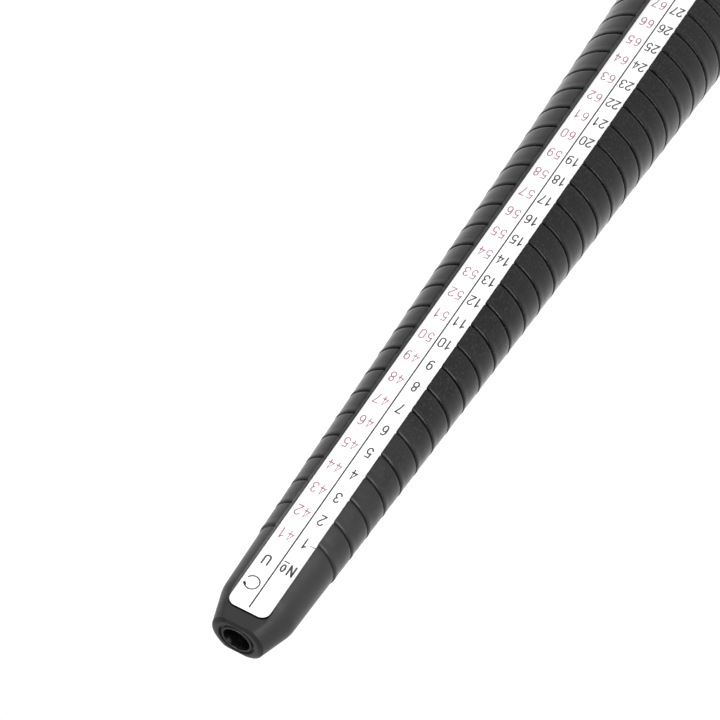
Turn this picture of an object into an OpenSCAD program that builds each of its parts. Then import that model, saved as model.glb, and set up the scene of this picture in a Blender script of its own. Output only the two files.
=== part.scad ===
// Ring sizer stick: a tapered finger gauge with printed scale strips let into its front and back.
// Millimetres, +Z up. The stick stands on the flat end of its handle with the tip up.
// The origin is the centre of that flat end, the front strip faces -Y and the back strip +Y.

/* [Gauge scale] */
// Inner circumference of the smallest ring, at the mark nearest the tip
first_circumference = 41; // [38:1:44]
// Number of size marks, each 1 mm of circumference larger than the last
mark_count = 36; // [20:1:36]
// Distance along the stick from one mark to the next
mark_pitch = 4.59; // [4:0.01:5]
// Height of the raised edge on the handle side of each groove
edge_h = 0.08; // [0.02:0.02:0.12]
// Length of the slope down from that edge
edge_l = 1.5; // [0.5:0.1:3]
// Width of each size groove
groove_w = 0.34; // [0.2:0.02:0.6]
// Depth of each size groove below the cone
groove_d = 0.28; // [0.1:0.02:0.5]

/* [Tip] */
// Distance from the first mark up to the end of the tip
tip_l = 16.8; // [14:0.1:24]
// Length of the steep nose above the shoulder
nose_l = 5.8; // [4:0.1:8]
// Radius of the nose where its end chamfer starts
nose_r = 4.35; // [4:0.05:4.8]
// Drop in radius of the lead-in above the first mark
lead_in_step = 0.13; // [0:0.01:0.3]
// Radius of the round bend at the shoulder
shoulder_bend = 6; // [2:0.5:10]
// Height of the chamfer round the end of the nose
nose_chamfer = 0.4; // [0.1:0.05:0.6]
// Radius of the flat end of the nose
nose_face_r = 3.7; // [3.65:0.05:3.9]
// Radius of the hole in the end of the nose
nose_bore_r = 2.2; // [1.5:0.1:2.3]
// Width of the raised ring round that hole
lip_w = 0.35; // [0.2:0.05:0.5]
// Width of the moat round the raised ring
moat_w = 0.5; // [0.3:0.05:0.6]
// Depth of the moat
moat_d = 0.5; // [0.2:0.05:1]

/* [Scale strips] */
// Width of the channel that holds a strip
channel_w = 7.12; // [6:0.02:8]
// Width of a strip
strip_w = 6.76; // [5.9:0.02:7.9]
// Thickness of a strip
strip_t = 0.5; // [0.3:0.05:0.8]
// Distance from the stick's axis to the face of a strip at the first mark
strip_face = 4.12; // [3.9:0.02:4.5]
// Slope of the strip's face, as rise for each millimetre away from the tip
strip_slope = 0.0344; // [0.03:0.0002:0.036]
// Length of strip above the first mark
strip_above = 13.97; // [8:0.01:14]
// Length of strip below the last mark
strip_below = 2.4; // [1:0.1:4]
// How far each strip has settled in its pocket, towards one wall and towards the handle
strip_shift = 0.17; // [0:0.01:0.18]
// Corner radius of a strip
strip_corner = 1.4; // [0.5:0.1:2.5]
// How far a strip lies below the flat facet of the nose
strip_sink = 0.06; // [0.02:0.02:0.2]

/* [Handle] */
// Length of the handle
handle_l = 72; // [55:0.5:100]
// Plain land between the handle and the last mark
land_l = 5.55; // [4:0.05:12]
// Radius of the collars at both ends of the grip
collar_r = 14.2; // [13.5:0.1:16]
// Radius of the grip at its waist
grip_r = 12.9; // [12.6:0.1:13.2]
// Height of each collar
collar_l = 5; // [3:0.5:8]
// Rounding of the collar edges
collar_round = 1.2; // [0.5:0.1:2]
// Number of finger flutes round the grip
flute_count = 12; // [6:1:16]
// Radius of a flute
flute_r = 2.4; // [1.5:0.1:3]
// Depth of a flute
flute_d = 0.8; // [0.3:0.05:1]

/* [Inside] */
// Radius of the hollow core at the top of the handle
core_r = 7.8; // [6:0.1:8.2]
// Radius of the hollow core through the handle
handle_core_r = 8.6; // [8:0.1:10]
// Radius of the plug's flange
plug_flange_r = 10.4; // [9.6:0.1:12]
// Thickness of the plug's flange
plug_flange_t = 1.8; // [1:0.1:3]
// Length of the plug's skirt inside the handle
plug_skirt_l = 9; // [4:0.5:20]
// Wall of the plug's skirt
plug_wall = 1.4; // [1:0.1:2]

/* [Hidden] */
$fn = 96;

black = [0.13, 0.13, 0.135];
white = [0.96, 0.96, 0.95];
dark_grey = [0.18, 0.18, 0.19];

over = 1;            // how far a cutter runs past the surface that it cuts
slip = 0.05;         // clearance round the plug
bend_steps = 6;      // points along the bend at the shoulder
round_steps = 6;     // points along each rounded collar edge

scale_l = (mark_count - 1) * mark_pitch;
last_mark_z = handle_l + land_l;
first_mark_z = last_mark_z + scale_l;
tip_z = first_mark_z + tip_l;
shoulder_z = tip_z - nose_l;
cone_slope = 1 / (2 * PI * mark_pitch);   // radius lost for each millimetre towards the tip

// Radius of the gauge cone at height z: its circumference is the ring size
function cone_r(z) = first_circumference / (2 * PI) + (first_mark_z - z) * cone_slope;
function lead_in_r(z) = cone_r(z) - lead_in_step;
function mark_z(k) = first_mark_z - (k - 1) * mark_pitch;

// Points along an arc about [x, y], from angle a to angle b
function arc(x, y, r, a, b, steps) =
    [for (i = [0:steps]) let (t = a + (b - a) * i / steps) [x + r * cos(t), y + r * sin(t)]];

// One groove and the raised edge below it, from the handle side to the tip side
function groove(k) =
    let (lo = mark_z(k) - groove_w / 2)
    let (hi = mark_z(k) + groove_w / 2)
    let (top_r = k == 1 ? lead_in_r(hi) : cone_r(hi))
    [[cone_r(lo - edge_l), lo - edge_l], [cone_r(lo) + edge_h, lo],
     [cone_r(lo) - groove_d, lo], [cone_r(hi) - groove_d, hi], [top_r, hi]];

// The shoulder, where the lead-in bends into the steeper nose
nose_base_r = lead_in_r(shoulder_z);
lead_in_angle = atan(cone_slope);
nose_angle = atan((nose_base_r - nose_r) / (nose_l - nose_chamfer));
bend_half = shoulder_bend * tan((nose_angle - lead_in_angle) / 2);
bend_start_z = shoulder_z - bend_half * cos(lead_in_angle);
bend_x = lead_in_r(bend_start_z) - shoulder_bend * cos(lead_in_angle);
bend_z = bend_start_z - shoulder_bend * sin(lead_in_angle);

nose_profile = concat(
    arc(bend_x, bend_z, shoulder_bend, lead_in_angle, nose_angle, bend_steps),
    [[nose_r, tip_z - nose_chamfer], [nose_face_r, tip_z]]);

// A collar with both outer edges rounded, from height z up
function collar(z) = concat(
    arc(collar_r - collar_round, z + collar_round, collar_round, -90, 0, round_steps),
    arc(collar_r - collar_round, z + collar_l - collar_round, collar_round, 0, 90, round_steps));

handle_profile = concat(
    [[0, 0]],
    collar(0),
    [[grip_r, collar_l + collar_round], [grip_r, handle_l - collar_l - collar_round]],
    collar(handle_l - collar_l),
    [[cone_r(handle_l), handle_l]]);

scale_profile = [for (k = [mark_count:-1:1]) each groove(k)];

module outer_body() {
    rotate_extrude() polygon(concat(handle_profile, scale_profile, nose_profile, [[0, tip_z]]));
}

// Shallow flutes down the grip, with round ends
module flutes() {
    reach = grip_r - flute_d + flute_r;
    low = collar_l + collar_round + flute_r + 1;
    high = handle_l - low;
    for (i = [0:flute_count - 1])
        rotate([0, 0, (i + 0.5) * 360 / flute_count]) translate([reach, 0, 0]) {
            translate([0, 0, low]) cylinder(h = high - low, r = flute_r);
            translate([0, 0, low]) sphere(r = flute_r);
            translate([0, 0, high]) sphere(r = flute_r);
        }
}

// Hollow down the middle: handle core, tapered core and the straight bore through the nose
module core() {
    translate([0, 0, -over]) cylinder(h = handle_l + over, r = handle_core_r);
    translate([0, 0, handle_l]) cylinder(h = first_mark_z - handle_l, r1 = core_r, r2 = nose_bore_r);
    translate([0, 0, first_mark_z]) cylinder(h = tip_l + over, r = nose_bore_r);
}

module plug_seat() {
    translate([0, 0, -over]) cylinder(h = plug_flange_t + over, r = plug_flange_r + slip);
}

module moat() {
    translate([0, 0, tip_z - moat_d]) difference() {
        cylinder(h = moat_d + over, r = nose_bore_r + lip_w + moat_w);
        cylinder(h = moat_d + over, r = nose_bore_r + lip_w);
    }
}

// Puts children drawn on the face of the front strip there: Z runs out of the strip, Y up to the tip
module on_strip_face() {
    tilt = atan(strip_slope);
    translate([0, -strip_face, first_mark_z]) rotate([90 - tilt, 0, 0]) children();
}

face_stretch = sqrt(1 + strip_slope * strip_slope);   // a length along the sloping face, per height

// Flat plate at the face of the front strip, with round corners, from low under the face to high over it
module strip_plate(w, gap, low, high) {
    bottom = -(scale_l + strip_below + gap) * face_stretch;
    top = (strip_above + gap) * face_stretch;
    r = strip_corner + gap;
    translate([0, 0, -low]) linear_extrude(low + high) {
        translate([-w / 2 + r, bottom]) square([w - 2 * r, top - bottom]);
        translate([-w / 2, bottom + r]) square([w, top - bottom - 2 * r]);
        for (x = [-1, 1], y = [bottom + r, top - r]) translate([x * (w / 2 - r), y]) circle(r = r);
    }
}

// The channel over a strip: open at the tip, with a round-cornered end at the handle
module channel() {
    gap = (channel_w - strip_w) / 2;
    bottom = -(scale_l + strip_below + gap) * face_stretch;
    r = strip_corner + gap;
    open_l = (tip_l + over) * face_stretch;
    translate([0, 0, strip_sink]) linear_extrude(2 * collar_r) {
        translate([-channel_w / 2, bottom + r]) square([channel_w, open_l - bottom - r]);
        translate([-channel_w / 2 + r, bottom]) square([channel_w - 2 * r, r]);
        for (x = [-1, 1]) translate([x * (channel_w / 2 - r), bottom + r]) circle(r = r);
    }
}

module strip_recess() {
    gap = (channel_w - strip_w) / 2;
    on_strip_face() {
        channel();
        strip_plate(channel_w, gap, strip_t, over);
    }
}

// Sloping cut along the edge between the front facet and the end of the nose
module facet_chamfer() {
    facet_y = strip_face - strip_slope * tip_l + strip_sink;
    translate([0, -facet_y, tip_z - nose_chamfer]) rotate([45, 0, 0])
        translate([-nose_r, -over, 0]) cube([2 * nose_r, 2 * over, over]);
}

module mandrel() {
    color(black) difference() {
        outer_body();
        flutes();
        core();
        plug_seat();
        moat();
        for (side = [0, 180]) rotate([0, 0, side]) {
            strip_recess();
            facet_chamfer();
        }
    }
}

module strip() {
    color(white) on_strip_face()
        translate([strip_shift, -strip_shift, 0]) strip_plate(strip_w, 0, strip_t, 0);
}

module front_strip() {
    strip();
}

module back_strip() {
    rotate([0, 0, 180]) strip();
}

// Press-in plug that closes the open end of the handle
module end_plug() {
    color(dark_grey) difference() {
        union() {
            cylinder(h = plug_flange_t, r = plug_flange_r);
            cylinder(h = plug_flange_t + plug_skirt_l, r = handle_core_r - slip);
        }
        translate([0, 0, plug_flange_t]) cylinder(h = plug_skirt_l + over, r = handle_core_r - plug_wall);
    }
}

mandrel();
front_strip();
back_strip();
end_plug();
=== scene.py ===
"""Ring sizer stick: a black tapered gauge with a white printed strip let into its front and its back."""

import math

import bmesh
import bpy
from mathutils import Matrix, Vector


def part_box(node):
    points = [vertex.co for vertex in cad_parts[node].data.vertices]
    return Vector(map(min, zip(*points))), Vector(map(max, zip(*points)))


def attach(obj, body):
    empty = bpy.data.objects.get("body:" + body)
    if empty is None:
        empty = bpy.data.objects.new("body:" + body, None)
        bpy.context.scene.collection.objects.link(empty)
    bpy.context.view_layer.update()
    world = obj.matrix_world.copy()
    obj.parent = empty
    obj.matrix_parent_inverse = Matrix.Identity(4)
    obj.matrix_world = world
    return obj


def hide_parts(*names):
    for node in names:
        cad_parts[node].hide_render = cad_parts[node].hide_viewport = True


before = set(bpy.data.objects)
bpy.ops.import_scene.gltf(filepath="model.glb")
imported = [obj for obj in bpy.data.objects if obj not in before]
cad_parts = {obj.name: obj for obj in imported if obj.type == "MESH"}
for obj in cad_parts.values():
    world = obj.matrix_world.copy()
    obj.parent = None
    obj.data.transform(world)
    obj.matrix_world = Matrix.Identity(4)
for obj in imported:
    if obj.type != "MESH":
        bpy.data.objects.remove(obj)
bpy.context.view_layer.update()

MM = 0.001

# --------------------------------------------------------------------------------------------------
# The driving dimensions of the CAD model, in millimetres. Z is height above the end of the handle.
# --------------------------------------------------------------------------------------------------
TIP_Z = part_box("mandrel")[1][2] / MM
FIRST_CIRCUMFERENCE = 41
MARK_COUNT = 36
MARK_PITCH = 4.59
GROOVE_W = 0.34
GROOVE_D = 0.28
EDGE_H = 0.08
EDGE_L = 1.5

TIP_L = 16.8
NOSE_L = 5.8
NOSE_R = 4.35
NOSE_FACE_R = 3.7
LEAD_IN_STEP = 0.13
SHOULDER_BEND = 6.0
NOSE_CHAMFER = 0.4
NOSE_BORE_R = 2.2
LIP_W = 0.35
MOAT_W = 0.5
MOAT_D = 0.5

CHANNEL_W = 7.12
STRIP_W = 6.76
STRIP_T = 0.5
STRIP_FACE = 4.12
STRIP_SLOPE = 0.0344
STRIP_ABOVE = 13.97
STRIP_BELOW = 2.4
STRIP_SHIFT = 0.17
STRIP_CORNER = 1.4
STRIP_SINK = 0.06

HANDLE_L = 72.0
COLLAR_R = 14.17      # a hair inside the CAD collar, whose circles are polygons here
GRIP_R = 12.9
COLLAR_L = 5.0
COLLAR_ROUND = 1.2
FLUTE_COUNT = 12
FLUTE_R = 2.4
FLUTE_D = 0.8

CORE_R = 7.8
HANDLE_CORE_R = 8.6
PLUG_FLANGE_R = 10.4
PLUG_FLANGE_T = 1.8
PLUG_SLIP = 0.05

NOSE_SLOPE = 0.3      # radius lost for each millimetre along the nose, near enough
FIRST_MARK_Z = TIP_Z - TIP_L
LAST_MARK_Z = FIRST_MARK_Z - (MARK_COUNT - 1) * MARK_PITCH
SCALE_L = FIRST_MARK_Z - LAST_MARK_Z
SHOULDER_Z = TIP_Z - NOSE_L
CONE_SLOPE = 1 / (2 * math.pi * MARK_PITCH)


def cone_r(z):
    """Radius of the gauge cone, whose circumference in millimetres is the ring size."""
    return FIRST_CIRCUMFERENCE / (2 * math.pi) + (FIRST_MARK_Z - z) * CONE_SLOPE


def strip_y(z):
    """Distance from the axis to the face of a strip at height z."""
    return STRIP_FACE + STRIP_SLOPE * (FIRST_MARK_Z - z)


# --------------------------------------------------------------------------------------------------
# Camera: it looks down at the tip, its nearest point, with the handle away up to the right
# --------------------------------------------------------------------------------------------------
CAMERA_FROM_FIRST_MARK = Vector((-131.51, -373.32, 216.82))   # millimetres
CAMERA_AZIMUTH = -20.792     # degrees, 0 looks along +Y
CAMERA_ELEVATION = 32.374    # degrees above the horizon
CAMERA_ROLL = -143.579       # degrees, anticlockwise seen from behind the camera
CAMERA_LENS = 153.51         # millimetres, on a 36 mm sensor


def make_camera():
    """Places the camera, measured from the first mark, and turns it to the stick."""
    data = bpy.data.cameras.new("camera")
    data.lens = CAMERA_LENS
    data.sensor_width = 36.0
    data.clip_start, data.clip_end = 0.02, 20.0
    camera = bpy.data.objects.new("camera", data)
    azimuth, elevation, roll = (math.radians(a) for a in (CAMERA_AZIMUTH, CAMERA_ELEVATION, CAMERA_ROLL))
    turn = (Matrix.Rotation(azimuth, 4, "Z") @ Matrix.Rotation(math.pi / 2 - elevation, 4, "X")
            @ Matrix.Rotation(roll, 4, "Z"))
    place = (Vector((0, 0, FIRST_MARK_Z)) + CAMERA_FROM_FIRST_MARK) * MM
    camera.matrix_world = Matrix.Translation(place) @ turn
    bpy.context.collection.objects.link(camera)
    bpy.context.scene.camera = camera


# --------------------------------------------------------------------------------------------------
# Materials
# --------------------------------------------------------------------------------------------------
PLASTIC_IOR = 1.31


class Nodes:
    """A material with a Principled shader, and short calls that add and link nodes."""

    def __init__(self, name, **sockets):
        self.material = bpy.data.materials.new(name)
        self.material.use_nodes = True
        self.tree = self.material.node_tree
        self.shader = self.tree.nodes["Principled BSDF"]
        for socket, value in sockets.items():
            self.shader.inputs[socket.replace("_", " ")].default_value = value

    def add(self, kind, **settings):
        made = self.tree.nodes.new(kind)
        for name, value in settings.items():
            if name in made.inputs:
                made.inputs[name].default_value = value
            else:
                setattr(made, name, value)
        return made

    def link(self, source, target):
        self.tree.links.new(source, target)

    def coordinates(self):
        return self.add("ShaderNodeTexCoord").outputs["Object"]

    def split(self, where):
        made = self.add("ShaderNodeSeparateXYZ")
        self.link(where, made.inputs[0])
        return [made.outputs[axis] for axis in "XYZ"]

    def noise(self, where, scale, detail):
        made = self.add("ShaderNodeTexNoise", Scale=scale, Detail=detail)
        self.link(where, made.inputs["Vector"])
        return made.outputs["Fac"]

    def spread(self, value, low, high, from_low=0.3, from_high=0.7):
        """Maps a value's range onto low to high. The range that it has by default is a noise's."""
        made = self.add("ShaderNodeMapRange")
        limits = {"From Min": from_low, "From Max": from_high, "To Min": low, "To Max": high}
        for socket, number in limits.items():
            made.inputs[socket].default_value = number
        self.link(value, made.inputs["Value"])
        return made.outputs["Result"]

    def math(self, operation, *values):
        """A Math node; each value is a number or an output to link."""
        made = self.add("ShaderNodeMath", operation=operation)
        for socket, value in zip(made.inputs, values):
            if isinstance(value, (int, float)):
                socket.default_value = value
            else:
                self.link(value, socket)
        return made.outputs[0]

    def product(self, *values):
        """1 where every mask is 1."""
        made = values[0]
        for value in values[1:]:
            made = self.math("MULTIPLY", made, value)
        return made

    def largest(self, *values):
        """1 where any mask is 1."""
        made = values[0]
        for value in values[1:]:
            made = self.math("MAXIMUM", made, value)
        return made

    def ramp(self, value, stops):
        made = self.add("ShaderNodeValToRGB")
        elements = made.color_ramp.elements
        while len(elements) < len(stops):
            elements.new(0.5)
        for element, (place, colour) in zip(elements, stops):
            element.position = place
            element.color = (*colour, 1)
        self.link(value, made.inputs["Fac"])
        return made.outputs["Color"]

    def blend(self, amount, base, colour):
        """Mixes a constant colour over a linked one, by a linked amount."""
        made = self.add("ShaderNodeMix", data_type="RGBA")
        self.link(amount, made.inputs[0])
        self.link(base, made.inputs[6])
        made.inputs[7].default_value = (*colour, 1)
        return made.outputs[2]

    def blend_value(self, amount, base, value):
        made = self.add("ShaderNodeMix", data_type="FLOAT")
        self.link(amount, made.inputs[0])
        self.link(base, made.inputs[2])
        made.inputs[3].default_value = value
        return made.outputs[0]

    def bump(self, height, distance, strength, under=None):
        made = self.add("ShaderNodeBump", Strength=strength, Distance=distance)
        self.link(height, made.inputs["Height"])
        if under is not None:
            self.link(under, made.inputs["Normal"])
        return made.outputs["Normal"]


def moulded_plastic(name, dark, light):
    """Satin moulded plastic: fine spark-eroded grain, with slight mottling of its colour and gloss."""
    m = Nodes(name, IOR=PLASTIC_IOR)
    where = m.coordinates()
    colour = m.ramp(m.noise(where, 90, detail=3), [(0.3, dark), (0.7, light)])
    gloss = m.spread(m.noise(where, 160, detail=4), 0.17, 0.26)
    return m, where, colour, gloss


def finish_plastic(m, where, colour, gloss):
    """Links the colour and the gloss, and adds the grain as two bumps, one finer than the other."""
    m.link(colour, m.shader.inputs["Base Color"])
    m.link(gloss, m.shader.inputs["Roughness"])
    grain = m.bump(m.noise(where, 3200, detail=2), 0.00004, 0.35)
    m.link(m.bump(m.noise(where, 700, detail=3), 0.00008, 0.4, under=grain), m.shader.inputs["Normal"])
    return m.material


def plug_material():
    return finish_plastic(*moulded_plastic("plug_plastic", (0.03, 0.03, 0.032), (0.042, 0.042, 0.044)))


def strip_face(m, z, sunk=0.0):
    """Shader value: how far from the middle of the stick a strip's face is, or a level sunk below it."""
    at_floor = STRIP_FACE + STRIP_SLOPE * FIRST_MARK_Z - sunk
    return m.math("MULTIPLY_ADD", z, -STRIP_SLOPE, at_floor * MM)


RUBBED_AND_LIT_FROM = 205.0     # height at which the rubbed end of the stick, partly painted light, begins to show, in millimetres
RUBBED_AND_LIT_FULL = 250.0     # and where it is fully rubbed and painted pale
RAGGED = 20.0           # how far those heights wander
DUST_COLOUR = (0.0115, 0.0105, 0.012)
# Paler colour of the rubbed end: partly wear, partly painted light falling on the tip
RUBBED_AND_LIT_COLOUR = (0.021, 0.02, 0.021)
SHADE_COLOUR = (0.001, 0.001, 0.001)


class MandrelMasks:
    """Shader values that are 1 at certain places of the mandrel and 0 elsewhere. Limits are given
    in millimetres."""

    def __init__(self, m, where):
        self.m, self.where = m, where
        x, y, self.z = m.split(where)
        self.from_middle = m.math("ABSOLUTE", x)
        self.from_front = m.math("ABSOLUTE", y)
        self.from_axis = m.math("SQRT", m.math("MULTIPLY_ADD", x, x, m.math("MULTIPLY", y, y)))

    def over(self, value, limit):
        return self.m.math("GREATER_THAN", value, limit * MM)

    def along(self, low, high, at_low=0, at_high=1):
        """A value that runs from at_low to at_high between two heights."""
        return self.m.spread(self.z, at_low, at_high, from_low=low * MM, from_high=high * MM)

    def rubbed(self):
        """The nose and the lead-in, rubbed by use and painted paler as light falling on them, with a ragged
        edge.
        """
        wander = self.m.noise(self.where, 220, detail=4)
        ragged = self.m.math("MULTIPLY_ADD", wander, RAGGED * MM, self.z)
        low, high = RUBBED_AND_LIT_FROM + RAGGED / 2, RUBBED_AND_LIT_FULL + RAGGED / 2
        return self.m.spread(ragged, 0, 1, from_low=low * MM, from_high=high * MM)

    def bore(self):
        low, high = NOSE_BORE_R + 0.02, NOSE_BORE_R + 0.07
        return self.m.spread(self.from_axis, 1, 0, from_low=low * MM, from_high=high * MM)

    def above_handle(self):
        return self.over(self.z, POCKET_BOTTOM - 0.1)

    def pocket(self):
        """The pocket that holds a strip, up to just below the strip's face."""
        beside = self.m.math("LESS_THAN", self.from_middle, (CHANNEL_W / 2 + 0.01) * MM)
        under_face = self.m.math("LESS_THAN", self.from_front, strip_face(self.m, self.z, sunk=0.03))
        nose_at_floor = NOSE_R - 0.15 + NOSE_SLOPE * (TIP_Z - NOSE_CHAMFER)
        nose_r = self.m.math("MULTIPLY_ADD", self.z, -NOSE_SLOPE, nose_at_floor * MM)
        inside_nose = self.m.math("LESS_THAN", self.from_axis, nose_r)
        below_top = self.m.math("LESS_THAN", self.z, (POCKET_TOP + 0.1) * MM)
        return self.m.product(beside, under_face, inside_nose, below_top, self.above_handle())

    def wall(self):
        """The walls of the channels, fading out towards the tip."""
        wall = self.m.math("COMPARE", self.from_middle, CHANNEL_W / 2 * MM, 0.05 * MM)
        fade = self.along(FIRST_MARK_Z - 15, FIRST_MARK_Z + 8, at_low=1, at_high=0)
        return self.m.product(wall, fade, self.above_handle())

    def chamfer(self):
        """The chamfer round the end of the nose."""
        half = NOSE_CHAMFER / 2
        level = self.m.math("COMPARE", self.z, (TIP_Z - half) * MM, (half - 0.02) * MM)
        return self.m.product(level, self.over(self.from_axis, NOSE_BORE_R + LIP_W + MOAT_W + 0.1))


def mandrel_material():
    """Black plastic with fine pale dust in its grain. Use has rubbed the nose and the lead-in duller, and
    they are painted paler, partly as wear and partly as painted light falling on the tip. The bore, the
    gaps round the strips and, less, the chamfer are painted near black as painted shade. The nose, its
    chamfer, the bore, the gaps round the strips and the walls of the channels shine less."""
    dark, light = (0.0015, 0.0015, 0.0018), (0.0035, 0.0033, 0.0035)
    m, where, colour, gloss = moulded_plastic("black_plastic", dark, light)
    dust = m.spread(m.noise(where, 2600, detail=1), 0, 1, from_low=0.5, from_high=0.72)
    colour = m.blend(dust, colour, DUST_COLOUR)

    masks = MandrelMasks(m, where)
    bore, pocket, chamfer = masks.bore(), masks.pocket(), masks.chamfer()
    rubbed = m.product(masks.rubbed(), m.math("SUBTRACT", 1.0, bore))
    # Painted light: the rubbed end is painted paler, partly as wear and partly as light falling on the tip
    colour = m.blend(rubbed, colour, RUBBED_AND_LIT_COLOUR)
    gloss = m.blend_value(rubbed, gloss, 0.36)

    nose = m.product(masks.along(FIRST_MARK_Z, SHOULDER_Z + 1, at_high=0.5), rubbed)
    bore = m.product(bore, masks.along(TIP_Z - 5, TIP_Z - 0.2, at_low=0.96, at_high=0.5))
    dulled = m.largest(nose, bore, m.product(masks.wall(), 0.85), pocket, m.product(chamfer, 0.6))
    m.link(m.math("MULTIPLY_ADD", dulled, -0.5, 0.5), m.shader.inputs["Specular IOR Level"])
    # Painted shade: the bore, the pockets round the strips and, less, the chamfer are painted near black
    # where shade falls
    black = m.largest(bore, pocket, m.product(chamfer, 0.4))
    colour = m.blend(black, colour, SHADE_COLOUR)
    return finish_plastic(m, where, colour, gloss)


def strip_plastic():
    """White printed plastic with slightly uneven gloss, and painted dark along its cut edges as shade in the
    gap round it.
    """
    m = Nodes("white_strip", Specular_IOR_Level=0.45)
    where = m.coordinates()
    white = m.ramp(m.noise(where, 60, detail=3), [(0.3, (0.83, 0.83, 0.82)), (0.7, (0.86, 0.86, 0.855))])
    _, y, z = m.split(where)
    depth = m.math("SUBTRACT", strip_face(m, z), m.math("ABSOLUTE", y))
    # Painted shade: the strip's cut edges, in the gap round it, are painted near black
    edge = m.spread(depth, 0, 1, from_low=0.02 * MM, from_high=0.05 * MM)
    m.link(m.blend(edge, white, (0.004, 0.004, 0.004)), m.shader.inputs["Base Color"])
    m.link(m.spread(m.noise(where, 140, detail=3), 0.32, 0.42), m.shader.inputs["Roughness"])
    m.link(m.bump(m.noise(where, 900, detail=2), 0.00002, 0.15), m.shader.inputs["Normal"])
    return m.material


def ink(name, thin, full):
    """Printing ink that lies a little unevenly."""
    m = Nodes(name, Specular_IOR_Level=0.3, Roughness=0.55)
    where = m.coordinates()
    colour = m.ramp(m.noise(where, 1500, detail=3), [(0.3, thin), (0.65, full)])
    m.link(colour, m.shader.inputs["Base Color"])
    return m.material


# --------------------------------------------------------------------------------------------------
# Mesh building
# --------------------------------------------------------------------------------------------------
def make_piece(name, points, faces, material, replaces=(), sharp_angle=None):
    """A piece from points in millimetres. Edges that turn by more than sharp_angle degrees are
    shaded sharp, and without it every face is flat."""
    mesh = bpy.data.meshes.new(name)
    mesh.from_pydata([(x * MM, y * MM, z * MM) for x, y, z in points], [], faces)
    bm = bmesh.new()
    bm.from_mesh(mesh)
    bmesh.ops.remove_doubles(bm, verts=bm.verts, dist=0.002 * MM)
    bmesh.ops.recalc_face_normals(bm, faces=bm.faces)
    for face in bm.faces:
        face.smooth = sharp_angle is not None
    if sharp_angle is not None:
        for edge in bm.edges:
            if len(edge.link_faces) == 2 and edge.calc_face_angle(0) > math.radians(sharp_angle):
                edge.smooth = False
    bm.to_mesh(mesh)
    bm.free()
    mesh.materials.append(material)
    piece = bpy.data.objects.new(name, mesh)
    bpy.context.collection.objects.link(piece)
    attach(piece, "root")
    if replaces:
        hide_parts(*replaces)
    return piece


def skin(rings, closed):
    """Quads between neighbouring rings of equally many points. closed joins the last to the first."""
    count = len(rings[0])
    points = [p for ring in rings for p in ring]
    faces = []
    for i in range(len(rings) if closed else len(rings) - 1):
        a, b = i * count, (i + 1) % len(rings) * count
        faces += [(a + j, a + (j + 1) % count, b + (j + 1) % count, b + j) for j in range(count)]
    return points, faces


# --------------------------------------------------------------------------------------------------
# The mandrel, one moulding. It is skinned over rings of points, each the outline of one slice. A
# slice through the scale is a circle with two channels: a flat floor, two walls, and a rounded lip
# where each wall meets the cone.
# --------------------------------------------------------------------------------------------------
FLOOR_STEPS = 8       # from the middle of a channel's floor to its corner
LIP_STEPS = 4         # round a lip
ARC_STEPS = 23        # from a lip to the side of the stick
LIP_ROUND = 0.09      # size of the rounding along a channel's lip
FACET_ROUND = 0.35    # and along the ridges of the nose, where the wall has run out
LIP_WALL = 0.8        # height of wall from which a lip has its full sharpness
BEND_STEPS = 8        # slices round the bend at the shoulder
NOSE_STEPS = 26       # along the nose
COLLAR_STEPS = 8      # round each edge of a collar
GRIP_STEPS = 6        # between the round ends of the flutes
POCKET_GAP = (CHANNEL_W - STRIP_W) / 2


def mix(a, b, t):
    return a + (b - a) * t


def mirrored(quarter):
    """A whole ring from its quarter between the middle of the front, at -Y, and the +X side."""
    right = quarter + [(x, -y, z) for x, y, z in reversed(quarter[:-1])]
    return right + [(-x, y, z) for x, y, z in reversed(right[1:-1])]


def floor_points(half):
    """Distances across a floor from its middle, closest together at its corner."""
    return [half * math.sin(math.pi / 2 * i / FLOOR_STEPS) for i in range(FLOOR_STEPS + 1)]


def plain_slice(z, floor_z=None):
    """A full circle of the cone, with its points where the channels' floors and lips will be.
    floor_z gives the points over the floor heights of their own."""
    across = floor_points(CHANNEL_W / 2)
    across += [CHANNEL_W / 2 + LIP_ROUND * i / LIP_STEPS for i in range(LIP_STEPS + 1)]
    height = [floor_z(x) if floor_z else z for x in across[:FLOOR_STEPS + 1]]
    height += [z] * (LIP_STEPS + 1 + ARC_STEPS)
    angles = [math.asin(x / cone_r(h)) for x, h in zip(across, height)]
    angles += [mix(angles[-1], math.pi / 2, i / ARC_STEPS) for i in range(1, ARC_STEPS + 1)]
    rounds = [(cone_r(h), a, h) for a, h in zip(angles, height)]
    return mirrored([(r * math.sin(a), -r * math.cos(a), h) for r, a, h in rounds])


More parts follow.
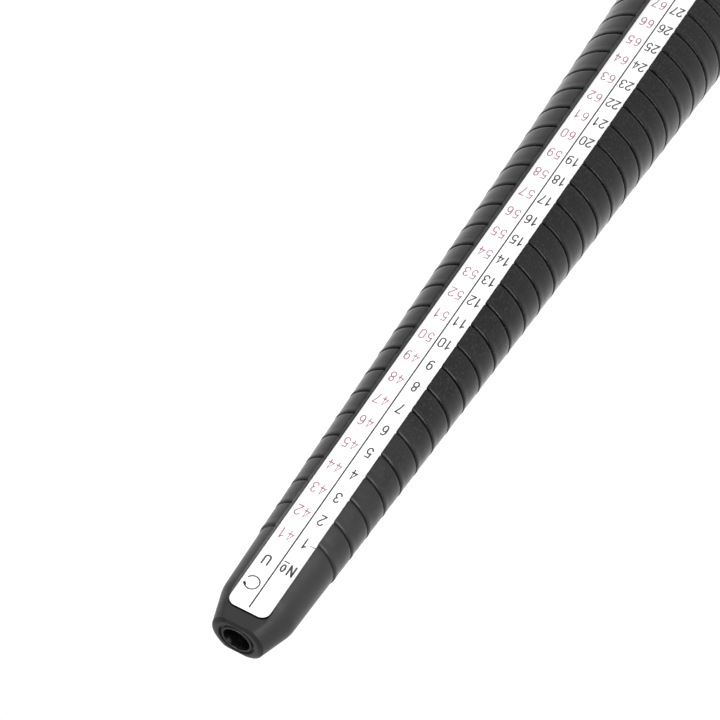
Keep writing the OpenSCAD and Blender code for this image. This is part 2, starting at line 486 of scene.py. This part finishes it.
def channel_slice(r, z, sunk, floor_z=None):
    """A slice with channels whose floors lie sunk below the face of the strips. floor_z gives the
    points of the floors heights of their own."""
    floor = strip_y(z) - sunk
    half = min(CHANNEL_W / 2, math.sqrt(r * r - floor * floor))
    lip = math.sqrt(r * r - half * half)
    wall = lip - floor
    rounding = mix(FACET_ROUND, LIP_ROUND, min(1.0, wall / LIP_WALL))
    onto_arc = math.asin(half / r) + rounding / r
    end = Vector((r * math.sin(onto_arc), r * math.cos(onto_arc)))
    top = Vector((half, lip))
    if wall > rounding:
        corner, start = Vector((half, floor)), Vector((half, lip - rounding))
    else:
        start = Vector((half - (rounding - wall), floor + wall * wall / rounding))
        corner = Vector((start.x - 0.05 * rounding, floor))
    outline = [Vector((x, floor)) for x in floor_points(corner.x)]
    for i in range(LIP_STEPS + 1):
        t = i / LIP_STEPS
        outline.append(start * (1 - t) ** 2 + top * (2 * t * (1 - t)) + end * t * t)
    arc = [mix(onto_arc, math.pi / 2, i / ARC_STEPS) for i in range(1, ARC_STEPS + 1)]
    height = [floor_z(p.x) if floor_z else z for p in outline[:FLOOR_STEPS + 1]] + [z] * (LIP_STEPS + 1)
    quarter = [(p.x, STRIP_SLOPE * (h - z) - p.y, h) for p, h in zip(outline, height)]
    return mirrored(quarter + [(r * math.sin(a), -r * math.cos(a), z) for a in arc])


def strip_end(z, towards_tip):
    """Height of the rounded end of a strip's pocket, as a function of the distance from its middle line."""
    r = STRIP_CORNER + POCKET_GAP
    centre = z - towards_tip * r

    def height(x):
        past = max(0.0, abs(x) - (CHANNEL_W / 2 - r))
        return centre + towards_tip * math.sqrt(max(0.0, r * r - past * past))

    return height


POCKET_TOP = FIRST_MARK_Z + STRIP_ABOVE + POCKET_GAP
POCKET_BOTTOM = LAST_MARK_Z - STRIP_BELOW - POCKET_GAP
END_L = STRIP_CORNER + POCKET_GAP   # length of a pocket's rounded end

# The worn edge below a groove: how far below the groove each point is, and how far under the top
WORN_EDGE = [(0.5, 0), (0.32, 0.01), (0.19, 0.035), (0.08, 0.07), (0, 0.16)]


def groove_slices(k):
    """Heights and radii across one groove. Its edge on the handle side stands up, and is worn round."""
    middle = FIRST_MARK_Z - (k - 1) * MARK_PITCH
    low, high = middle - GROOVE_W / 2, middle + GROOVE_W / 2
    above = cone_r(high) - (LEAD_IN_STEP if k == 1 else 0)
    edge = cone_r(low) + EDGE_H
    floor = cone_r(middle) - GROOVE_D
    rise = [(low - EDGE_L, cone_r(low - EDGE_L)), (low - 0.7 * EDGE_L, cone_r(low) + 0.3 * EDGE_H)]
    worn = [(low - below, edge - drop) for below, drop in WORN_EDGE]
    bottom = [(low + 0.02, floor + 0.05), (low + 0.06, floor)]
    bottom += [(high - 0.06, floor), (high - 0.02, floor + 0.05)]
    far_edge = [(high, above - 0.04), (high + 0.02, above - 0.01), (high + 0.06, above)]
    return rise + worn + bottom + far_edge + [(high + 0.4, above)]


def scale_rings():
    """From the land at the handle up to the first mark."""
    end = strip_end(POCKET_BOTTOM, towards_tip=-1)
    inside = POCKET_BOTTOM + END_L
    rings = [plain_slice(HANDLE_L), plain_slice(HANDLE_L + 0.3), plain_slice(POCKET_BOTTOM - 0.5)]
    rings.append(plain_slice(inside, floor_z=end))
    rings += [channel_slice(cone_r(inside), inside, STRIP_T, floor_z=level) for level in (end, None)]
    for k in range(MARK_COUNT, 0, -1):
        rings += [channel_slice(r, z, STRIP_T) for z, r in groove_slices(k)]
    return rings


def nose_profile():
    """Heights and radii from above the first mark to the end of the nose, bending at the shoulder."""
    lead_in = math.atan(CONE_SLOPE)
    base = cone_r(SHOULDER_Z) - LEAD_IN_STEP
    nose = math.atan((base - NOSE_R) / (NOSE_L - NOSE_CHAMFER))
    half = SHOULDER_BEND * math.tan((nose - lead_in) / 2)
    z0 = SHOULDER_Z - half * math.cos(lead_in)
    r0 = cone_r(z0) - LEAD_IN_STEP
    points = [(z, cone_r(z) - LEAD_IN_STEP) for z in (FIRST_MARK_Z + 2.5, FIRST_MARK_Z + 5, z0 - 1.5)]
    for i in range(BEND_STEPS + 1):
        t = mix(lead_in, nose, i / BEND_STEPS)
        points.append((z0 + SHOULDER_BEND * (math.sin(t) - math.sin(lead_in)),
                       r0 - SHOULDER_BEND * (math.cos(lead_in) - math.cos(t))))
    z, r = points[-1]
    for i in range(1, NOSE_STEPS + 1):
        t = i / NOSE_STEPS
        points.append((mix(z, TIP_Z - NOSE_CHAMFER, t), mix(r, NOSE_R, t)))
    return points


def nose_rings():
    """The lead-in and the nose, with the pocket's rounded end in its flat facets and its chamfer."""
    end = strip_end(POCKET_TOP, towards_tip=1)
    inside = POCKET_TOP - END_L
    profile = nose_profile()

    def at(z):
        below = max(i for i, point in enumerate(profile[:-1]) if point[0] <= z)
        (z0, r0), (z1, r1) = profile[below:below + 2]
        return mix(r0, r1, (z - z0) / (z1 - z0))

    rings = [channel_slice(r, z, STRIP_T) for z, r in profile if z < inside]
    rings += [channel_slice(at(inside), inside, STRIP_T, floor_z=level) for level in (None, end)]
    rings.append(channel_slice(at(inside), inside, -STRIP_SINK, floor_z=end))
    rings += [channel_slice(r, z, -STRIP_SINK) for z, r in profile if z > POCKET_TOP + 0.02]
    for t in (0.06, 0.3, 0.65, 0.94, 1):
        z = TIP_Z - NOSE_CHAMFER * (1 - t)
        rings.append(channel_slice(mix(NOSE_R, NOSE_FACE_R, t), z, NOSE_CHAMFER * t - STRIP_SINK))
    return rings


def circle_like(ring, r, z):
    """A circle of radius r whose points lie in the same directions as another ring's."""
    return [(r * x / math.hypot(x, y), r * y / math.hypot(x, y), z) for x, y, _ in ring]


def inside_rings(outer):
    """The end face, the raised lip round the bore, and the bore and core down to the plug's seat."""
    lip_out = NOSE_BORE_R + LIP_W
    moat_out = lip_out + MOAT_W
    steps = [(moat_out + 0.06, TIP_Z), (moat_out, TIP_Z - 0.05), (moat_out - 0.03, TIP_Z - MOAT_D),
             (lip_out + 0.02, TIP_Z - MOAT_D), (lip_out, TIP_Z - 0.1), (lip_out - 0.08, TIP_Z),
             (NOSE_BORE_R + 0.06, TIP_Z), (NOSE_BORE_R, TIP_Z - 0.08), (NOSE_BORE_R, FIRST_MARK_Z),
             (CORE_R, HANDLE_L), (HANDLE_CORE_R, HANDLE_L), (HANDLE_CORE_R, PLUG_FLANGE_T),
             (PLUG_FLANGE_R + PLUG_SLIP, PLUG_FLANGE_T), (PLUG_FLANGE_R + PLUG_SLIP, 0)]
    return [circle_like(outer, r, z) for r, z in steps]


def flute_edges(half_angle):
    """Angles of points from the middle of a flute to halfway to the next, close together at its
    edge."""
    share = math.pi / FLUTE_COUNT
    inner = [half_angle * t for t in (0, 0.4, 0.72, 0.92, 1.0)]
    return inner + [half_angle + 0.2 * (share - half_angle), share]


LEAST_FLUTE = 1.5     # half the room kept for a flute's points where there is no flute, in degrees


def grip_slice(z, r, flute_r):
    """A slice through the grip, where the flutes' cutters have radius flute_r (0: no flutes)."""
    reach = GRIP_R - FLUTE_D + FLUTE_R
    cut = max(flute_r, 1e-6)
    depth = r - (reach - cut)
    half_angle = math.radians(LEAST_FLUTE)
    if depth > 0:
        cosine = (reach * reach + r * r - cut * cut) / (2 * reach * r)
        half_angle = max(half_angle, math.acos(min(1.0, cosine)))
    one_side = flute_edges(half_angle)
    around = [-a for a in reversed(one_side[1:])] + one_side[:-1]
    ring = []
    for i in range(FLUTE_COUNT):
        middle = (i + 0.5) * 2 * math.pi / FLUTE_COUNT - math.pi / 2
        for a in around:
            here = r
            inside = cut * cut - (reach * math.sin(a)) ** 2
            if depth > 0 and abs(a) < half_angle and inside > 0:
                here = min(r, reach * math.cos(a) - math.sqrt(inside))
            ring.append((here * math.cos(middle + a), here * math.sin(middle + a), z))
    return ring


def handle_rings():
    """From the edge of the plug's seat round the outside of the handle to the top of the upper collar."""
    edge = COLLAR_R - COLLAR_ROUND
    rings = [grip_slice(0, edge, 0)]

    def collar(z):
        made = []
        for centre, a0 in ((z + COLLAR_ROUND, -90), (z + COLLAR_L - COLLAR_ROUND, 0)):
            for i in range(COLLAR_STEPS + 1):
                a = math.radians(a0 + 90 * i / COLLAR_STEPS)
                level, r = centre + COLLAR_ROUND * math.sin(a), edge + COLLAR_ROUND * math.cos(a)
                made.append(grip_slice(level, r, 0))
        return made

    rings += collar(0)
    low = COLLAR_L + COLLAR_ROUND + FLUTE_R + 1
    high = HANDLE_L - low
    fillet = [(COLLAR_L, GRIP_R + 0.35), (COLLAR_L + 0.12, GRIP_R + 0.12), (COLLAR_L + 0.4, GRIP_R)]
    rings += [grip_slice(z, r, 0) for z, r in fillet]
    # Slices through the round end of a flute, as shares of its radius, from its tip inwards
    ends = [1.0, 0.97, 0.9, 0.8, 0.68, 0.54, 0.38, 0.2, 0.0]
    levels = [(low - FLUTE_R * t, FLUTE_R * math.sqrt(1 - t * t)) for t in ends]
    levels += [(mix(low, high, i / GRIP_STEPS), FLUTE_R) for i in range(1, GRIP_STEPS)]
    levels += [(high + FLUTE_R * t, FLUTE_R * math.sqrt(1 - t * t)) for t in reversed(ends)]
    rings += [grip_slice(z, GRIP_R, cut) for z, cut in levels]
    rings += [grip_slice(HANDLE_L - z, r, 0) for z, r in reversed(fillet)]
    rings += collar(HANDLE_L - COLLAR_L)
    return rings


def turned_to_start(ring):
    """The same ring, started at its point nearest to the middle of the front."""
    first = min(range(len(ring)), key=lambda i: abs(math.atan2(ring[i][0], -ring[i][1])))
    return ring[first:] + ring[:first]


def make_mandrel(material):
    """Skins the whole moulding, from the plug's seat up the outside and back down the inside."""
    handle = [turned_to_start(ring) for ring in handle_rings()]
    outside = scale_rings() + nose_rings()
    rings = handle + outside + inside_rings(outside[-1])
    points, faces = skin(rings, closed=True)
    return make_piece("mandrel_shell", points, faces, material, ["mandrel"],
                      sharp_angle=38)


# --------------------------------------------------------------------------------------------------
# The strips and their printing. Flat coordinates on a strip: x across, d down from the first mark,
# lift off the face.
# --------------------------------------------------------------------------------------------------
FRONT, BACK = 1, -1
SLANT = math.atan(STRIP_SLOPE)


def on_strip(side, x, d, lift=0.0):
    """A point in millimetres from its flat coordinates on the front or the back strip."""
    y = STRIP_FACE + STRIP_SLOPE * d + lift * math.cos(SLANT)
    return (side * x, -side * y, FIRST_MARK_Z - d + lift * math.sin(SLANT))


def strip_outline(inset):
    """Anticlockwise outline of a strip in the middle of its pocket, drawn in by inset."""
    half = STRIP_W / 2 - inset
    top, bottom = -STRIP_ABOVE + inset, SCALE_L + STRIP_BELOW - inset
    r = STRIP_CORNER - inset
    steps = 10
    outline = []
    for cx, cd, a0 in ((half - r, top + r, 0), (-half + r, top + r, 90), (-half + r, bottom - r, 180),
                       (half - r, bottom - r, 270)):
        for i in range(steps + 1):
            a = math.radians(a0 + 90 * i / steps)
            outline.append((cx + r * math.cos(a), cd - r * math.sin(a)))
    return outline


def make_strip(side, name, node, material):
    """A strip, settled in its pocket, with a small bevel round its face."""
    edge = 0.07
    levels = [(0, -STRIP_T), (0, -edge), (0.3 * edge, -0.3 * edge), (edge, 0)]
    rings = [[on_strip(side, x + STRIP_SHIFT, d + STRIP_SHIFT, lift) for x, d in strip_outline(inset)]
             for inset, lift in levels]
    points, faces = skin(rings, closed=False)
    count = len(rings[0])
    faces += [tuple(range(count)), tuple(range(len(points) - count, len(points)))]
    return make_piece(name, points, faces, material, [node], sharp_angle=50)


def bow(cx, cy, rx, ry, start, end, steps=14):
    """Points along part of an ellipse, between two angles in degrees."""
    made = []
    for i in range(steps + 1):
        a = math.radians(mix(start, end, i / steps))
        made.append((cx + rx * math.cos(a), cy + ry * math.sin(a)))
    return made


# Each figure is a list of strokes in a box one unit high, centred on x = 0. D draws the diameter
# sign, and o the raised letter of the number sign.
GLYPHS = {
    "0": [bow(0, 0.74, 0.22, 0.26, 0, 180) + bow(0, 0.26, 0.22, 0.26, 180, 360) + [(0.22, 0.74)]],
    "1": [[(-0.16, 0.76), (0.0, 0.84), (0.07, 1.0)], [(0.07, 1.0), (0.07, 0.0)]],
    "2": [bow(0, 0.76, 0.22, 0.24, 170, -25) + [(-0.2, 0.08), (-0.22, 0.0), (0.23, 0.0)]],
    "3": [bow(-0.01, 0.765, 0.2, 0.235, 165, -80) + bow(-0.01, 0.27, 0.23, 0.27, 80, -165)],
    "4": [[(0.09, 0.0), (0.09, 1.0), (-0.24, 0.29), (0.25, 0.29)]],
    "5": [[(0.19, 1.0), (-0.15, 1.0), (-0.19, 0.56)] + bow(-0.01, 0.32, 0.22, 0.32, 130, -160)],
    "6": [[(0.17, 0.93)] + bow(0.04, 0.62, 0.25, 0.38, 75, 180) + bow(0.0, 0.31, 0.21, 0.31, 180, 540, 24)],
    "7": [[(-0.22, 1.0), (0.22, 1.0), (0.06, 0.62), (-0.05, 0.3), (-0.09, 0.0)]],
    "8": [bow(0, 0.765, 0.185, 0.235, 270, 630, 22), bow(0, 0.265, 0.225, 0.265, 90, 450, 24)],
    "9": [[(-0.17, 0.07)] + bow(-0.04, 0.38, 0.25, 0.38, 255, 360) + bow(0.0, 0.69, 0.21, 0.31, 0, 360, 24)],
    "N": [[(-0.23, 0.0), (-0.23, 1.0)], [(-0.23, 1.0), (0.23, 0.0)], [(0.23, 0.0), (0.23, 1.0)]],
    "U": [[(-0.27, 1.0)] + bow(0, 0.27, 0.27, 0.27, 180, 360) + [(0.27, 1.0)]],
    "o": [bow(0, 0.42, 0.2, 0.42, 0, 180) + bow(0, 0.42, 0.2, 0.42, 180, 360)],
    "m": [[(-0.32, 0.0), (-0.32, 0.66)], [(-0.32, 0.48)] + bow(-0.16, 0.48, 0.16, 0.2, 150, 0) + [(0.0, 0.0)],
          [(0.0, 0.48)] + bow(0.16, 0.48, 0.16, 0.2, 150, 0) + [(0.32, 0.0)]],
    ".": [[(-0.05, 0.02), (0.05, 0.02)], [(-0.05, 0.09), (0.05, 0.09)]],
    "D": [bow(0, 0.5, 0.3, 0.42, 0, 360, 28), [(-0.26, -0.04), (0.26, 1.04)]],
}


INK_T = 0.02           # thickness of the ink
MITRE_LIMIT = 0.45     # smallest cosine of half a turn that a stroke's outside follows
POINT_GAP = 0.64       # room beside a decimal point, as a share of the usual room


class Print:
    """Ink of one colour on one strip: thin raised ribbons, collected and made as one piece."""

    def __init__(self, side):
        self.side = side
        self.points, self.faces = [], []

    def slab(self, left, right, closed=False):
        """A thin solid ribbon between two lines of equally many points."""
        start, count = len(self.points), len(left)
        for a, b in zip(left, right):
            corners = ((*a, INK_T), (*b, INK_T), (*b, 0), (*a, 0))
            self.points += [on_strip(self.side, x, d, lift) for x, d, lift in corners]
        for i in range(count if closed else count - 1):
            a, b = start + 4 * i, start + 4 * ((i + 1) % count)
            self.faces += [(a + j, b + j, b + (j + 1) % 4, a + (j + 1) % 4) for j in range(4)]
        if not closed:
            last = start + 4 * (count - 1)
            self.faces += [(start, start + 1, start + 2, start + 3), (last + 3, last + 2, last + 1, last)]

    def stroke(self, line, width):
        """A ribbon along a line of points on the strip, with mitred turns and round ends."""
        closed = math.dist(line[0], line[-1]) < 1e-6
        line = [Vector(p) for p in (line[:-1] if closed else line)]
        count, half = len(line), width / 2
        left, right = [], []
        for i, p in enumerate(line):
            before = p - line[i - 1] if i or closed else line[1] - p
            after = line[(i + 1) % count] - p if i < count - 1 or closed else before
            a, b = before.normalized(), after.normalized()
            across = Vector((-(a.y + b.y), a.x + b.x)).normalized()
            reach = half / max(MITRE_LIMIT, across.dot(Vector((-b.y, b.x))))
            left.append(p + across * reach)
            right.append(p - across * reach)
        if not closed:
            left, right = self.rounded(left, right, half)
        self.slab(left, right, closed)

    @staticmethod
    def rounded(left, right, half):
        """Adds a round end to both ends of a ribbon."""
        def cap(a, b, sign):
            middle, across = (a + b) / 2, (a - b) / 2
            side = (a - b).normalized()
            ahead = Vector((side.y, -side.x)) * sign
            made = []
            for t in (80, 55, 28):
                c, s = math.cos(math.radians(t)), math.sin(math.radians(t))
                tip = ahead * s * half
                made.append((middle + across * c + tip, middle - across * c + tip))
            return made

        first = cap(left[0], right[0], -1)
        last = cap(left[-1], right[-1], 1)[::-1]
        left = [p for p, _ in first] + left + [p for p, _ in last]
        right = [q for _, q in first] + right + [q for _, q in last]
        return left, right

    def text(self, text, x, d, height, width, advance=0.66):
        """Writes text centred on x, d, reading with the tip up. advance is the way from one
        figure to the next, in heights."""
        gaps = [advance * (POINT_GAP if "." in pair else 1) for pair in zip(text, text[1:])]
        place = x - sum(gaps) * height / 2
        for i, letter in enumerate(text):
            for stroke in GLYPHS[letter]:
                self.stroke([(place + u * height, d + height / 2 - v * height) for u, v in stroke], width)
            if i < len(gaps):
                place += gaps[i] * height

    def make(self, name, material, slot):
        return make_piece(name, self.points, self.faces, material)


FIGURE_H = 1.75          # height of the figures between the middles of their strokes
DIAMETER_H = 1.6         # and of those on the back
BLACK_W = 0.26           # width of the strokes of the black figures
RED_W = 0.23             # and of the red ones
RED_ADVANCE = 0.74       # red figures stand a little wider apart
LEFT_COLUMN = -1.5
RIGHT_COLUMN = 1.78
DIVIDER_TOP = 0.95       # from the ends of the strip to those of the line down its middle
DIVIDER_BOTTOM = 0.5
PRINT_START = 0.2        # the printed scale starts a little below the first groove
PRINT_PITCH = 4.63       # and is printed a little long
AMERICAN_ZERO = 11.63    # inner diameter of American ring size 0
AMERICAN_STEP = 0.8128   # and how much it grows with each size


def print_d(k):
    """Where the figures of mark k are printed."""
    return PRINT_START + (k - 1) * PRINT_PITCH


def divider(dark, x, width):
    """The line down the middle of a strip."""
    dark.stroke([(x, -STRIP_ABOVE + DIVIDER_TOP), (x, SCALE_L + STRIP_BELOW - DIVIDER_BOTTOM)], width)


def print_front(black, red):
    """The front strip numbers the marks and, in red, gives the ring sizes."""
    dark, tinted = Print(FRONT), Print(FRONT)
    divider(dark, x=0.02, width=0.27)
    for k in range(1, MARK_COUNT + 1):
        size = str(FIRST_CIRCUMFERENCE + k - 1)
        dark.text(str(k), LEFT_COLUMN, print_d(k), FIGURE_H, BLACK_W)
        tinted.text(size, RIGHT_COLUMN, print_d(k), FIGURE_H, RED_W, RED_ADVANCE)
    dark.stroke([(-3.1, PRINT_START), (-2.25, PRINT_START)], 0.12)
    # Column headings: a number sign, a U for circumference and a turning arrow with a short head
    dark.text("N", x=-2.15, d=-4.9, height=1.7, width=0.31)
    dark.text("o", x=-0.82, d=-5.12, height=1.45, width=0.29)
    dark.stroke([(-1.2, -3.85), (-0.44, -3.85)], width=0.24)
    dark.text("U", x=1.98, d=-4.95, height=1.62, width=0.3)
    turn = [(1.82 + x, -9.3 - y) for x, y in bow(0, 0, 1.13, 1.13, 34, 328, steps=36)]
    dark.stroke(turn, width=0.24)
    dark.stroke([(2.6, -10.04), (2.82, -9.8)], width=0.42)
    dark.make("front_print_black", black, "black_ink")
    tinted.make("front_print_red", red, "red_ink")


def print_back(black, red):
    """The back strip gives the rings' inner diameters in millimetres and, in red, American sizes."""
    dark, tinted = Print(BACK), Print(BACK)
    divider(dark, x=0.55, width=0.24)
    for k in range(1, MARK_COUNT + 1):
        diameter = (FIRST_CIRCUMFERENCE + k - 1) / math.pi
        dark.text(f"{diameter:.1f}", -1.4, print_d(k), DIAMETER_H, BLACK_W)
    # Column headings: a diameter sign and its unit
    dark.text("D", x=-1.45, d=-8.4, height=1.6, width=0.25)
    dark.text("mm", x=-1.45, d=-4.9, height=1.9, width=0.25, advance=0.86)
    for size in range(2, 15):
        diameter = AMERICAN_ZERO + AMERICAN_STEP * size
        mark = math.pi * diameter - FIRST_CIRCUMFERENCE + 1
        if mark <= MARK_COUNT:
            tinted.text(str(size), 2.15, print_d(mark), FIGURE_H, RED_W, RED_ADVANCE)
            tinted.stroke([(0.75, print_d(mark)), (1.05, print_d(mark))], 0.15)
    dark.make("back_print_black", black, "black_ink")
    tinted.make("back_print_red", red, "red_ink")


# --------------------------------------------------------------------------------------------------
# Stage
# --------------------------------------------------------------------------------------------------
def make_floor():
    """The pale floor under the stick."""
    m = Nodes("floor", Roughness=0.9, Specular_IOR_Level=0.2)
    where = m.coordinates()
    pale = [(0.3, (0.92, 0.92, 0.92)), (0.7, (0.94, 0.94, 0.94))]
    m.link(m.ramp(m.noise(where, 2, detail=2), pale), m.shader.inputs["Base Color"])
    mesh = bpy.data.meshes.new("floor")
    size = 1.6
    corners = [(-size, -size, 0), (size, -size, 0), (size, size, 0), (-size, size, 0)]
    mesh.from_pydata(corners, [], [(0, 1, 2, 3)])
    mesh.materials.append(m.material)
    floor = bpy.data.objects.new("floor", mesh)
    bpy.context.collection.objects.link(floor)


def softbox(name, place, aim, size, power, spread=180):
    """A square light, in metres and watts, that faces the point aim. spread is the width of its
    beam in degrees."""
    data = bpy.data.lights.new(name, "AREA")
    data.shape = "SQUARE"
    data.size, data.energy = size, power
    data.spread = math.radians(spread)
    light = bpy.data.objects.new(name, data)
    light.location = place
    light.rotation_euler = (Vector(place) - Vector(aim)).to_track_quat("Z", "Y").to_euler()
    bpy.context.collection.objects.link(light)


DARK_SKY = (-0.15, -0.45, 0.88)   # where the sky is darkest


def make_sky():
    """White all round, darker overhead and behind the camera."""
    world = bpy.data.worlds.new("studio")
    world.use_nodes = True
    nodes, links = world.node_tree.nodes, world.node_tree.links
    direction = nodes.new("ShaderNodeTexCoord").outputs["Generated"]
    facing = nodes.new("ShaderNodeVectorMath")
    facing.operation = "DOT_PRODUCT"
    facing.inputs[1].default_value = DARK_SKY
    links.new(direction, facing.inputs[0])
    ramp = nodes.new("ShaderNodeValToRGB")
    ramp.color_ramp.elements[0].position = 0.35
    ramp.color_ramp.elements[0].color = (1, 1, 1, 1)
    ramp.color_ramp.elements[1].position = 0.62
    ramp.color_ramp.elements[1].color = (0.12, 0.12, 0.12, 1)
    links.new(facing.outputs["Value"], ramp.inputs["Fac"])
    background = nodes["Background"]
    links.new(ramp.outputs["Color"], background.inputs["Color"])
    background.inputs["Strength"].default_value = 1.0
    bpy.context.scene.world = world


def make_floor_spot():
    """Brightens the floor that the camera sees round the stick."""
    spot = bpy.data.lights.new("floor_spot", "SPOT")
    spot.energy = 5
    spot.spot_size = math.radians(30)
    spot.spot_blend = 1.0
    spot.shadow_soft_size = 0.1
    light = bpy.data.objects.new("floor_spot", spot)
    light.location = (0.05, 0.36, 0.8)
    bpy.context.collection.objects.link(light)


def make_lights():
    """A key light, a light over the floor, and two small lights for the grooves and the tip."""
    make_sky()
    softbox("key", (-0.1, -1.5, 1.6), (0, 0, 0.2), size=1.0, power=46)
    softbox("overhead", (0.1, 0.6, 2.2), (0.1, 0.6, 0), size=1.2, power=16)
    make_floor_spot()
    softbox("side", (-0.85, -0.24, 0.41), (0, 0, 0.2), size=0.26, power=0.095, spread=50)
    softbox("tip_fill", (-0.165, -0.11, 0.232), (0, 0, 0.245), size=0.12, power=0.32)


make_camera()
black_plastic = mandrel_material()
plug_plastic = plug_material()
white_strip = strip_plastic()
black_ink = ink("black_ink", (0.07, 0.07, 0.075), (0.03, 0.03, 0.035))
red_ink = ink("red_ink", (0.37, 0.18, 0.24), (0.27, 0.115, 0.165))

make_mandrel(black_plastic)
make_strip(FRONT, "scale_strip_front", "front_strip", white_strip)
make_strip(BACK, "scale_strip_back", "back_strip", white_strip)
print_front(black_ink, red_ink)
print_back(black_ink, red_ink)
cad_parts["end_plug"].data.materials[0] = plug_plastic
make_floor()
make_lights()
bpy.context.scene.view_settings.view_transform = "Standard"
